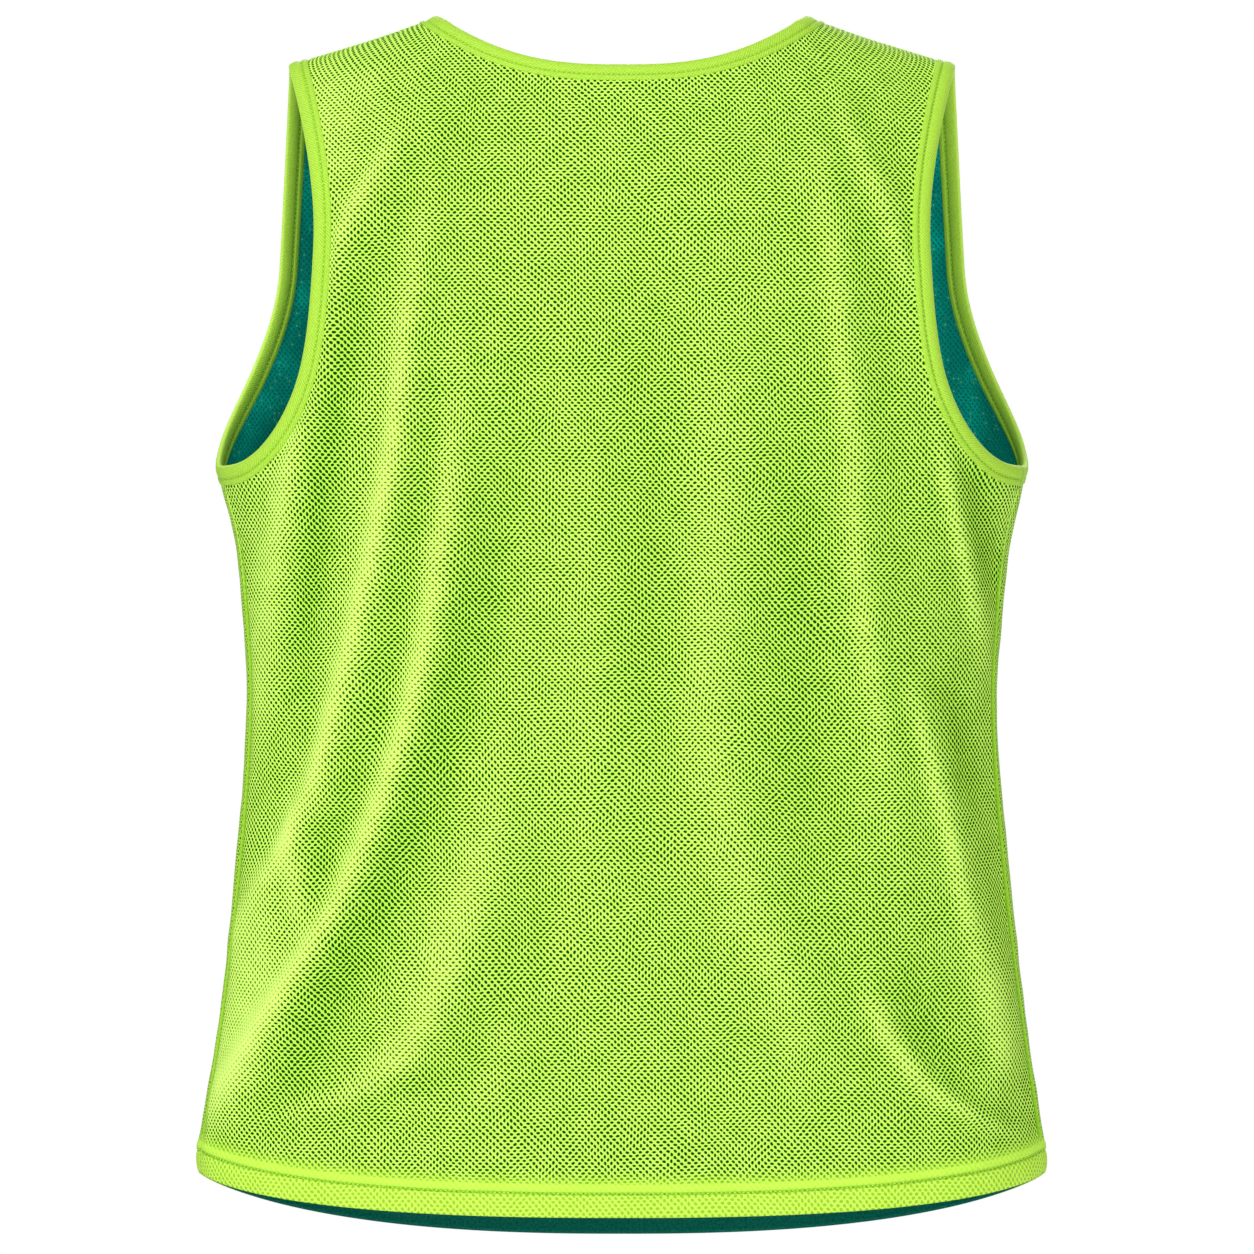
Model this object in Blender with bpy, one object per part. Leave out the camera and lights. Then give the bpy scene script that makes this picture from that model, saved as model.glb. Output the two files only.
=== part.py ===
"""Reversible mesh training bib, filled out and hollow as if worn.

Two layers of mesh, lime outside and teal inside, are cut as a back and a front and closed by shoulder
and side seams. Knit strips are folded round the neck and both armholes, and the hem is turned up.
The back faces -Y, the front +Y and the wearer's height is +Z. The origin lies midway between the two
neck points, on the shoulder seams' line. All sizes here are in millimetres, the meshes are in metres.
"""
import math
from collections import namedtuple

import bmesh
import bpy
from mathutils import Vector

MM = 0.001

# Cloth
WALL = 1.0            # thickness of one layer of mesh
GAP = 0.3             # clearance between layers and at seams
HEM_DEPTH = 18.0
HEM_RISE = 0.6        # what the turned-up hem adds to the wall
BAND_WIDTH = 10.5     # knit strip round neck and armholes, folded
BAND_THICKNESS = 3.4

# Cut: shoulders, neck, armholes, hem
NECK_POINT = 108.0        # half the finished neck width, where z is 0
NECK_CLOTH = 118.0        # the same to the cloth's own corner, under the knit strip
SHOULDER_TIP = 185.5      # the cloth's corner at the armhole
SHOULDER_SLOPE = 0.295
NECK_FALL = 4.0           # the seam's extra fall close to the neck, and the length that it fades over
NECK_FALL_LENGTH = 18.0
RIDGE_SLOPE = 0.33        # slope with which the shoulder line is carried over the neck opening
UNDERARM = -275.0         # height of the cloth's corner at armhole and side seam
SEAM_SETBACK = 27.0       # the side seams lie this far behind the middle
HEM_SIDE = -677.0         # hem height at the side seams

# Body of the garment: it rounds over the shoulder line within this drop
SHOULDER_ROUND = 115.0
SECTION_POWER = 2.4       # superellipse of every level section
SQUARE = 2 / SECTION_POWER

TIP_SHARE = 0.66          # depth share of the cloth's edge at the shoulder tip

# What differs between the two panels: the neck's drop at the centre, the height of the yoke's lowest
# row there, the armhole edge's depth share and roundness, and how far the hem dips at the centre
Panel = namedtuple("Panel", "side neck_drop neck_power yoke_mid edge_share armhole_power hem_dip hem_power")
BACK = Panel(-1, 42.0, 2.6, -110.0, 0.765, 3.4, 19.0, 1.3)
FRONT = Panel(1, 105.0, 2.2, -170.0, 0.63, 2.1, 47.0, 1.9)

# Level sections: half width, and depth to the back and to the front
Level = namedtuple("Level", "z half_width back front")
LEVELS = (
    Level(0, 224.7, 70, 72),
    Level(-42, 225, 78, 80),
    Level(-105, 227.5, 97, 93),
    Level(-150, 230.5, 106, 103),
    Level(-205, 234.5, 110, 112),
    Level(-265, 236, 110, 116),
    Level(-307, 226.5, 108, 115),
    Level(-355, 221.5, 105, 113),
    Level(-402, 219.5, 104, 112),
    Level(-472, 223.5, 105, 112),
    Level(-566, 233.5, 109, 114),
    Level(-677, 249.5, 115, 118),
    Level(-730, 255, 117, 120),
)

# Largest folds: ridges from a top to a bottom, given by where their crests lie across the panel
Fold = namedtuple("Fold", "top_z top_x mid_x bottom_z bottom_x height width")
BACK_FOLDS = (
    Fold(-74, -111, -168, -366, -200, 5.0, 15),
    Fold(-74, -102, -131, -487, -186, 6.0, 14),
    Fold(-200, -85, -117, -625, -207, 7.5, 16),
    Fold(-460, -62, -88, -641, -160, 5.5, 16),
    Fold(-142, 76, 74, -630, 113, 3.5, 20),
    Fold(-85, 117, 142, -487, 167, 4.5, 16),
    Fold(-340, 172, 184, -532, 205, 4.0, 14),
    Fold(-560, 140, 172, -639, 205, 4.0, 14),
)
FRONT_FOLDS = (
    Fold(-120, 128, 150, -420, 196, 4.0, 16),
    Fold(-180, 96, 118, -620, 176, 4.5, 18),
    Fold(-430, 52, 84, -650, 138, 3.5, 17),
    Fold(-120, -126, -146, -470, -182, 4.0, 16),
    Fold(-240, -84, -98, -640, -150, 4.0, 19),
)

# Grid of a panel: columns from the centre to the neck corner and on to the side, and rows down the
# shoulder's rounding, the rest of the armhole, the side seam and the hem
COLUMNS = (8, 8)
ROWS = (6, 9, 8, 1)
UNDERARM_ROW_DROP = 0.42  # share of the way from the yoke to the hem where that row crosses the centre


def smooth_step(share):
    share = min(max(share, 0.0), 1.0)
    return share * share * (3 - 2 * share)


def section_size(z, column):
    """A column of LEVELS at height z, on cubic pieces that share their slopes."""
    spots = [level.z for level in LEVELS]
    sizes = [getattr(level, column) for level in LEVELS]
    z = min(max(z, spots[-1]), spots[0])
    k = next(i for i in range(len(spots) - 1) if z >= spots[i + 1])

    def slope(i):
        before, after = max(i - 1, 0), min(i + 1, len(spots) - 1)
        return (sizes[after] - sizes[before]) / (spots[after] - spots[before])

    span = spots[k + 1] - spots[k]
    s = (z - spots[k]) / span
    start, end = slope(k) * span, slope(k + 1) * span
    return ((2 * s**3 - 3 * s**2 + 1) * sizes[k] + (s**3 - 2 * s**2 + s) * start
            + (3 * s**2 - 2 * s**3) * sizes[k + 1] + (s**3 - s**2) * end)


def depth(z, side):
    return section_size(z, "front" if side > 0 else "back")


def shoulder_line(x):
    """Height of the shoulder seams, carried over the neck opening as a parabola."""
    beyond = abs(x) - NECK_POINT
    if beyond < 0:
        return RIDGE_SLOPE * (NECK_POINT - x * x / NECK_POINT) / 2
    return -SHOULDER_SLOPE * beyond - NECK_FALL * (1 - math.exp(-beyond / NECK_FALL_LENGTH))


def neck_edge(panel, x):
    corner = shoulder_line(NECK_CLOTH)
    return -panel.neck_drop + (corner + panel.neck_drop) * (abs(x) / NECK_CLOTH) ** panel.neck_power


def turn_of(share):
    """Angle round the section at which the depth is this share of its largest."""
    return math.acos(math.copysign(abs(share) ** (1 / SQUARE), share))


TOP_TURN = turn_of(TIP_SHARE)
TOP_HALF_WIDTH = SHOULDER_TIP / math.sin(TOP_TURN) ** SQUARE
NECK_SHARE = math.asin((NECK_CLOTH / TOP_HALF_WIDTH) ** (1 / SQUARE)) / TOP_TURN
TIP_Z = shoulder_line(SHOULDER_TIP)
YOKE_EDGE = TIP_Z - SHOULDER_ROUND


def even_walk(curve, samples=120):
    """The same plane curve over 0 to 1, walked at an even pace."""
    points = [Vector(curve(i / samples)) for i in range(samples + 1)]
    walked = [0.0]
    for before, after in zip(points, points[1:]):
        walked.append(walked[-1] + (after - before).length)

    def place(share):
        goal = min(max(share, 0.0), 1.0) * walked[-1]
        k = next(i for i in range(samples) if goal <= walked[i + 1] + 1e-9)
        return points[k].lerp(points[k + 1], (goal - walked[k]) / (walked[k + 1] - walked[k]))

    return place


def lower_armhole(panel):
    """From the yoke's edge round to the side seam, as (depth, height), a corner of a superellipse."""
    start = panel.edge_share * depth(UNDERARM, BACK.side)
    end = -panel.side * SEAM_SETBACK

    def corner(share):
        turn = math.pi / 2 * share
        reach = math.cos(turn) ** (2 / panel.armhole_power) if share < 1 else 0.0
        drop = math.sin(turn) ** (2 / panel.armhole_power)
        return end + (start - end) * reach, YOKE_EDGE + (UNDERARM - YOKE_EDGE) * drop

    return even_walk(corner)


LOWER_ARMHOLES = {panel.side: lower_armhole(panel) for panel in (BACK, FRONT)}


def side_edge(panel, down):
    """Height and depth share of the cloth's side edge: armhole to 2, side seam to 3, hem to 4."""
    if down <= 1:
        z = TIP_Z - SHOULDER_ROUND * (1 - math.cos(math.pi / 2 * down))
        return z, TIP_SHARE + (panel.edge_share - TIP_SHARE) * smooth_step(down)
    if down < 2:
        reach, z = LOWER_ARMHOLES[panel.side](down - 1)
        return z, reach / depth(UNDERARM, BACK.side)
    z = UNDERARM + (HEM_SIDE + HEM_DEPTH - UNDERARM) * min(down - 2, 1) - HEM_DEPTH * max(down - 3, 0)
    return z, -panel.side * SEAM_SETBACK / depth(z, BACK.side)


def height(panel, share, down):
    """Height of the cloth at a share of the way to the side: rows curve up to the armhole's corner."""
    x = TOP_HALF_WIDTH * math.sin(share * TOP_TURN) ** SQUARE
    ridge = shoulder_line(x)
    yoke = panel.yoke_mid + (YOKE_EDGE - panel.yoke_mid) * share**2
    if down <= 1:
        top = ridge if share >= NECK_SHARE else neck_edge(panel, x)
        return top + (yoke - top) * (1 - math.cos(math.pi / 2 * down))
    hem = HEM_SIDE + HEM_DEPTH - panel.hem_dip * (1 - share**2) ** panel.hem_power
    if down >= 3:
        return hem - HEM_DEPTH * (down - 3)
    drop = UNDERARM_ROW_DROP * min(down - 1, 1) + (1 - UNDERARM_ROW_DROP) * max(down - 2, 0)
    straight_edge = YOKE_EDGE + (HEM_SIDE + HEM_DEPTH - YOKE_EDGE) * drop
    lift = side_edge(panel, down)[0] - straight_edge
    return yoke + (hem - yoke) * drop + lift * share**3


def body(panel, across, down):
    """The smooth middle surface: across is 0 at the centre, 1 at the neck corner and 2 at the side."""
    steps = abs(across)
    share = steps * NECK_SHARE if steps <= 1 else NECK_SHARE + (steps - 1) * (1 - NECK_SHARE)
    z = height(panel, share, down)
    turn = share * turn_of(side_edge(panel, down)[1])
    x = section_size(z, "half_width") * math.sin(turn) ** SQUARE
    inward = max(1 - max(shoulder_line(x) - z, 0.0) / SHOULDER_ROUND, 0.0)
    reach = math.copysign(abs(math.cos(turn)) ** SQUARE, math.cos(turn))
    side = panel.side if reach >= 0 else -panel.side
    y = side * abs(reach) * depth(z, side) * math.sqrt(1 - inward**2)
    return Vector((math.copysign(x, across), y, z))


def outward(panel, surface, across, down):
    """Unit normal of a surface over the panel, from steps that stay on the cloth."""
    step = 0.02
    right = surface(panel, min(across + step, 2), down) - surface(panel, max(across - step, -2), down)
    below = surface(panel, across, min(down + step, 4)) - surface(panel, across, max(down - step, 0))
    return panel.side * right.cross(below).normalized()


def fold_height(panel, point, across, down):
    """How far the folds push the cloth out at a point, fading towards its cut edges."""
    total = 0.0
    for fold in BACK_FOLDS if panel is BACK else FRONT_FOLDS:
        s = (fold.top_z - point.z) / (fold.top_z - fold.bottom_z)
        if 0 < s < 1:
            crest = ((1 - s) * (1 - 2 * s) * fold.top_x + 4 * s * (1 - s) * fold.mid_x
                     + s * (2 * s - 1) * fold.bottom_x)
            fade = smooth_step(3.5 * s) * smooth_step(3.5 * (1 - s))
            total += fold.height * fade * math.exp(-(((point.x - crest) / fold.width) ** 2))
    return total * smooth_step(2.5 * (2 - abs(across))) * smooth_step(1.5 * down)


def cloth(panel, across, down):
    """The middle surface with its folds."""
    point = body(panel, across, down)
    return point + outward(panel, body, across, down) * fold_height(panel, point, across, down)


def steps_between(counts):
    """Even steps of each stretch, one whole number for each stretch."""
    return [k + i / count for k, count in enumerate(counts) for i in range(count)] + [len(counts)]


DOWN = steps_between(ROWS)
HALF_ACROSS = steps_between(COLUMNS)
ACROSS = [-step for step in reversed(HALF_ACROSS[1:])] + HALF_ACROSS


def finish(name, bm, material):
    """Make the object of a closed mesh."""
    bmesh.ops.recalc_face_normals(bm, faces=bm.faces)
    mesh = bpy.data.meshes.new(name)
    bm.to_mesh(mesh)
    bm.free()
    mesh.materials.append(material)
    mesh.shade_smooth()
    mesh.set_sharp_from_angle(angle=math.radians(50))
    bpy.context.scene.collection.objects.link(bpy.data.objects.new(name, mesh))


def seam_shift(panel, across, down):
    """Half the seam gap, moved into the cloth at its shoulder and side seams."""
    shift = Vector((0, 0, 0))
    if down == 0 and abs(across) >= 1:
        shift.y = panel.side * GAP / 2
    if abs(across) == 2 and down >= 2:
        edge = body(panel, across, down)
        shift += (body(panel, across * 0.98, down) - edge).normalized() * GAP / 2
    return shift


def cloth_layer(name, panel, face, material):
    """One layer of a panel: face is 1 for the outside layer and -1 for the lining."""
    bm = bmesh.new()
    bmesh.ops.create_grid(bm, x_segments=len(ACROSS) - 1, y_segments=len(DOWN) - 1, size=1)
    bmesh.ops.triangulate(bm, faces=bm.faces)
    near = set(bm.verts)
    bmesh.ops.extrude_face_region(bm, geom=bm.faces[:])
    places = {}
    for vert in bm.verts:
        column = round((vert.co.x + 1) / 2 * (len(ACROSS) - 1))
        row = round((1 - vert.co.y) / 2 * (len(DOWN) - 1))
        if (column, row) not in places:
            across, down = ACROSS[column], DOWN[row]
            middle = cloth(panel, across, down) + seam_shift(panel, across, down)
            places[column, row] = middle, outward(panel, cloth, across, down)
        middle, normal = places[column, row]
        rise = HEM_RISE if DOWN[row] >= 3 else 0.0
        offset = GAP / 2 if vert in near else GAP / 2 + WALL + rise
        vert.co = (middle + normal * face * offset) * MM
    finish(name, bm, material)


def band_profile():
    """Round-edged flat section of the folded strip: reach from the cloth's edge, and height."""
    corners = 8
    for k in range(corners):
        turn = 2 * math.pi * (k + 0.5) / corners
        reach = math.copysign(math.sqrt(abs(math.cos(turn))), -math.cos(turn))
        rise = math.copysign(math.sqrt(abs(math.sin(turn))), math.sin(turn))
        yield GAP + BAND_WIDTH / 2 * (1 + reach), BAND_THICKNESS / 2 * rise


def band(name, edge, material):
    """A strip folded round a ring of the cloth's edge; edge lists (panel, across, down)."""
    points = [cloth(*place) for place in edge]
    normals = [outward(place[0], cloth, *place[1:]) for place in edge]
    profile = list(band_profile())
    bm = bmesh.new()
    bmesh.ops.create_grid(bm, x_segments=len(edge), y_segments=len(profile), size=1)
    for vert in bm.verts:
        k = round((vert.co.x + 1) / 2 * len(edge)) % len(edge)
        along = points[(k + 1) % len(edge)] - points[k - 1]
        normal = (normals[k] - normals[k].project(along)).normalized()
        away = along.cross(normal).normalized()
        reach, rise = profile[round((vert.co.y + 1) / 2 * len(profile)) % len(profile)]
        vert.co = (points[k] + away * reach + normal * rise) * MM
    bmesh.ops.remove_doubles(bm, verts=bm.verts, dist=1e-6)
    bmesh.ops.triangulate(bm, faces=bm.faces)
    finish(name, bm, material)


def neck_ring():
    """Anticlockwise from above: along the back from right to left, then the front."""
    across = [step for step in ACROSS if abs(step) <= 1]
    back = [(BACK, step, 0) for step in reversed(across)]
    front = [(FRONT, step, 0) for step in across[1:-1]]
    return back + front


def armhole_ring(hand):
    """Up the back edge from the underarm and down the front edge, at the left (-1) or right (1)."""
    rows = [step for step in DOWN if step <= 2]
    back = [(BACK, 2 * hand, step) for step in reversed(rows)]
    front = [(FRONT, 2 * hand, step) for step in rows[1:-1]]
    ring = back + front
    return ring if hand > 0 else ring[::-1]


def fabric(name, colour, roughness):
    material = bpy.data.materials.new(name)
    material.use_nodes = True
    shader = material.node_tree.nodes["Principled BSDF"]
    shader.inputs["Base Color"].default_value = (*colour, 1)
    shader.inputs["Roughness"].default_value = roughness
    shader.inputs["Metallic"].default_value = 0.0
    return material


for old in list(bpy.data.objects):
    bpy.data.objects.remove(old)

lime_mesh = fabric("lime_mesh", (0.44, 0.74, 0.09), 0.75)
teal_mesh = fabric("teal_mesh", (0.0, 0.18, 0.14), 0.8)
lime_knit = fabric("lime_knit", (0.50, 0.86, 0.08), 0.7)

cloth_layer("back_panel", BACK, 1, lime_mesh)
cloth_layer("front_panel", FRONT, 1, lime_mesh)
cloth_layer("back_lining", BACK, -1, teal_mesh)
cloth_layer("front_lining", FRONT, -1, teal_mesh)
band("neck_binding", neck_ring(), lime_knit)
band("armhole_binding_left", armhole_ring(-1), lime_knit)
band("armhole_binding_right", armhole_ring(1), lime_knit)
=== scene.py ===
"""Reversible mesh training bib as worn: lime mesh outside, teal mesh inside, bound neck and armholes."""
import math
from collections import namedtuple

import bmesh
import bpy
from mathutils import Matrix, Vector, noise


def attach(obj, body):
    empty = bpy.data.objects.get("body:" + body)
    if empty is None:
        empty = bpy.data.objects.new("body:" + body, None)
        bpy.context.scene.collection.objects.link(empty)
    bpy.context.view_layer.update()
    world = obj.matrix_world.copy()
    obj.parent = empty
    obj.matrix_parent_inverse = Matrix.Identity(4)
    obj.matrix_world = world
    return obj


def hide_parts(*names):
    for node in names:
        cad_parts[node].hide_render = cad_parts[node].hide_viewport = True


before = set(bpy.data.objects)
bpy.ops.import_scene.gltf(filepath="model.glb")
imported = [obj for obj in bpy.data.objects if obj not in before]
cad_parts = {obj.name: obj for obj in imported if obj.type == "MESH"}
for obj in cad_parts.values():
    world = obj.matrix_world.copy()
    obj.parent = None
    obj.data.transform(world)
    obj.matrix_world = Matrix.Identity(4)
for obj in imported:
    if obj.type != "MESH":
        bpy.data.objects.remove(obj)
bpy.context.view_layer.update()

MM = 0.001

# Form of the cloth
# Back and front are cut from knitted mesh and hang from the shoulder seams round a plain trunk.
# Each point has a place across the panel (0 centre, 1 neck corner, 2 side) and down it (0 top edge,
# 1 end of the shoulder's rounding, 2 underarm, 3 top of the hem, 4 hem edge). Sizes are millimetres.
HEM_DEPTH = 18.0
NECK_POINT = 108.0
NECK_CLOTH = 118.0
SHOULDER_TIP = 185.5
SHOULDER_SLOPE = 0.295
NECK_FALL = 4.0
NECK_FALL_LENGTH = 18.0
RIDGE_SLOPE = 0.33
UNDERARM = -275.0
SEAM_SETBACK = 27.0
HEM_SIDE = -677.0
SHOULDER_ROUND = 115.0
SQUARE = 2 / 2.4
TIP_SHARE = 0.66
UNDERARM_ROW_DROP = 0.42
RIDGE_DOWN = 0.04           # directions are taken this far down from the ridge, where the form turns over
HEM_CURL = 0.03             # the hem's edge curls in by about a hundredth of its reach

Panel = namedtuple("Panel", "side neck_drop neck_power yoke_mid edge_share armhole_power hem_dip hem_power")
BACK = Panel(-1, 42.0, 2.6, -110.0, 0.765, 3.4, 19.0, 1.3)
FRONT = Panel(1, 105.0, 2.2, -170.0, 0.63, 2.1, 47.0, 1.9)

Level = namedtuple("Level", "z half_width back front")
LEVELS = (
    Level(0, 224.7, 70, 72),
    Level(-42, 225, 78, 80),
    Level(-105, 227.5, 97, 93),
    Level(-150, 230.5, 106, 103),
    Level(-205, 234.5, 110, 112),
    Level(-265, 236, 110, 116),
    Level(-307, 226.5, 108, 115),
    Level(-355, 221.5, 105, 113),
    Level(-402, 219.5, 104, 112),
    Level(-472, 223.5, 105, 112),
    Level(-566, 233.5, 109, 114),
    Level(-677, 249.5, 115, 118),
    Level(-730, 255, 117, 120),
)


def smooth_step(share):
    share = min(max(share, 0.0), 1.0)
    return share * share * (3 - 2 * share)


def level_slope(k, column):
    before, after = max(k - 1, 0), min(k + 1, len(LEVELS) - 1)
    rise = getattr(LEVELS[after], column) - getattr(LEVELS[before], column)
    return rise / (LEVELS[after].z - LEVELS[before].z)


def sampled(column):
    """A column of LEVELS for each millimetre of drop, on cubic pieces that share their slopes."""
    sizes = []
    for k, (above, below) in enumerate(zip(LEVELS, LEVELS[1:])):
        span = below.z - above.z
        start, end = level_slope(k, column) * span, level_slope(k + 1, column) * span
        first, last = getattr(above, column), getattr(below, column)
        for drop in range(int(-above.z), int(-below.z)):
            s = (-drop - above.z) / span
            sizes.append((2 * s**3 - 3 * s**2 + 1) * first + (s**3 - 2 * s**2 + s) * start
                         + (3 * s**2 - 2 * s**3) * last + (s**3 - s**2) * end)
    return sizes + [getattr(LEVELS[-1], column)] * 2


SECTIONS = {"half_width": sampled("half_width"), -1: sampled("back"), 1: sampled("front")}


def section_size(z, column):
    sizes = SECTIONS[column]
    drop = min(max(-z, 0.0), len(sizes) - 2.001)
    k = int(drop)
    return sizes[k] + (sizes[k + 1] - sizes[k]) * (drop - k)


def shoulder_line(x):
    beyond = abs(x) - NECK_POINT
    if beyond < 0:
        return RIDGE_SLOPE * (NECK_POINT - x * x / NECK_POINT) / 2
    return -SHOULDER_SLOPE * beyond - NECK_FALL * (1 - math.exp(-beyond / NECK_FALL_LENGTH))


def neck_edge(panel, x):
    corner = shoulder_line(NECK_CLOTH)
    return -panel.neck_drop + (corner + panel.neck_drop) * (abs(x) / NECK_CLOTH) ** panel.neck_power


def turn_of(share):
    return math.acos(math.copysign(abs(share) ** (1 / SQUARE), share))


TOP_TURN = turn_of(TIP_SHARE)
TOP_HALF_WIDTH = SHOULDER_TIP / math.sin(TOP_TURN) ** SQUARE
NECK_SHARE = math.asin((NECK_CLOTH / TOP_HALF_WIDTH) ** (1 / SQUARE)) / TOP_TURN
TIP_Z = shoulder_line(SHOULDER_TIP)
YOKE_EDGE = TIP_Z - SHOULDER_ROUND


def even_walk(curve, samples=240):
    points = [Vector(curve(i / samples)) for i in range(samples + 1)]
    walked = [0.0]
    for before, after in zip(points, points[1:]):
        walked.append(walked[-1] + (after - before).length)

    def place(share):
        goal = min(max(share, 0.0), 1.0) * walked[-1]
        k = next(i for i in range(samples) if goal <= walked[i + 1] + 1e-9)
        return points[k].lerp(points[k + 1], (goal - walked[k]) / (walked[k + 1] - walked[k]))

    return place


SEAM_DEPTH = section_size(UNDERARM, BACK.side)


def lower_armhole(panel):
    start = panel.edge_share * SEAM_DEPTH
    end = -panel.side * SEAM_SETBACK

    def corner(share):
        turn = math.pi / 2 * share
        reach = math.cos(turn) ** (2 / panel.armhole_power) if share < 1 else 0.0
        drop = math.sin(turn) ** (2 / panel.armhole_power)
        return end + (start - end) * reach, YOKE_EDGE + (UNDERARM - YOKE_EDGE) * drop

    return even_walk(corner)


LOWER_ARMHOLES = {panel.side: lower_armhole(panel) for panel in (BACK, FRONT)}
EDGE_PLACES = {}


def side_edge(panel, down):
    """Height and depth share of the cloth's side edge."""
    if (panel.side, down) not in EDGE_PLACES:
        if down <= 1:
            z = TIP_Z - SHOULDER_ROUND * (1 - math.cos(math.pi / 2 * down))
            share = TIP_SHARE + (panel.edge_share - TIP_SHARE) * smooth_step(down)
        else:
            z = UNDERARM + (HEM_SIDE + HEM_DEPTH - UNDERARM) * min(down - 2, 1) - HEM_DEPTH * max(down - 3, 0)
            share = -panel.side * SEAM_SETBACK / section_size(z, BACK.side)
            if down < 2:
                reach, z = LOWER_ARMHOLES[panel.side](down - 1)
                share = reach / SEAM_DEPTH
        EDGE_PLACES[panel.side, down] = z, share, turn_of(share)
    return EDGE_PLACES[panel.side, down]


def height(panel, share, down):
    x = TOP_HALF_WIDTH * math.sin(share * TOP_TURN) ** SQUARE
    ridge = shoulder_line(x)
    yoke = panel.yoke_mid + (YOKE_EDGE - panel.yoke_mid) * share**2
    if down <= 1:
        top = ridge if share >= NECK_SHARE else neck_edge(panel, x)
        return top + (yoke - top) * (1 - math.cos(math.pi / 2 * down))
    hem = HEM_SIDE + HEM_DEPTH - panel.hem_dip * (1 - share**2) ** panel.hem_power
    if down >= 3:
        return hem - HEM_DEPTH * (down - 3)
    drop = UNDERARM_ROW_DROP * min(down - 1, 1) + (1 - UNDERARM_ROW_DROP) * max(down - 2, 0)
    straight_edge = YOKE_EDGE + (HEM_SIDE + HEM_DEPTH - YOKE_EDGE) * drop
    lift = side_edge(panel, down)[0] - straight_edge
    return yoke + (hem - yoke) * drop + lift * share**3


def body(panel, across, down):
    """The smooth middle surface between the two layers, in millimetres."""
    steps = abs(across)
    share = steps * NECK_SHARE if steps <= 1 else NECK_SHARE + (steps - 1) * (1 - NECK_SHARE)
    z = height(panel, share, down)
    turn = share * side_edge(panel, down)[2]
    x = section_size(z, "half_width") * math.sin(turn) ** SQUARE
    inward = max(1 - max(shoulder_line(x) - z, 0.0) / SHOULDER_ROUND, 0.0)
    reach = math.copysign(abs(math.cos(turn)) ** SQUARE, math.cos(turn))
    side = panel.side if reach >= 0 else -panel.side
    y = side * abs(reach) * section_size(z, side) * math.sqrt(1 - inward**2)
    curl = 1 - HEM_CURL * max(down - 3.4, 0.0) ** 2
    return Vector((math.copysign(x * curl, across), y * curl, z))


def outward(panel, across, down, step=0.004):
    down = max(down, RIDGE_DOWN)
    right = body(panel, min(across + step, 2), down) - body(panel, max(across - step, -2), down)
    below = body(panel, across, min(down + step, 4)) - body(panel, across, max(down - step, 0))
    return panel.side * right.cross(below).normalized()


# Back panel
# Cut in one from lime mesh and hung on the shoulder seams. Long soft folds run from the shoulder
# blades out to the sides, deeper on the left, with a few sharp creases along their crests.
LAYER_GAP = 0.3
LAYER_WALL = 1.0
HEM_RISE = 0.6
HEM_SEAM = 3.3              # the hem is stitched down nearly a third of the way from its top to its edge
SEAM_DIP = 0.7
STRIP_RISE = 0.35
SIDE_STRIP = 2.2            # columns of the grid from the side edge to the seam's line of stitches
HEM_TUCK = 0.9              # the layer facing the back hangs this much lower at its hem
BACK_GRID = (60, 60), (30, 46, 96, 18)

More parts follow.
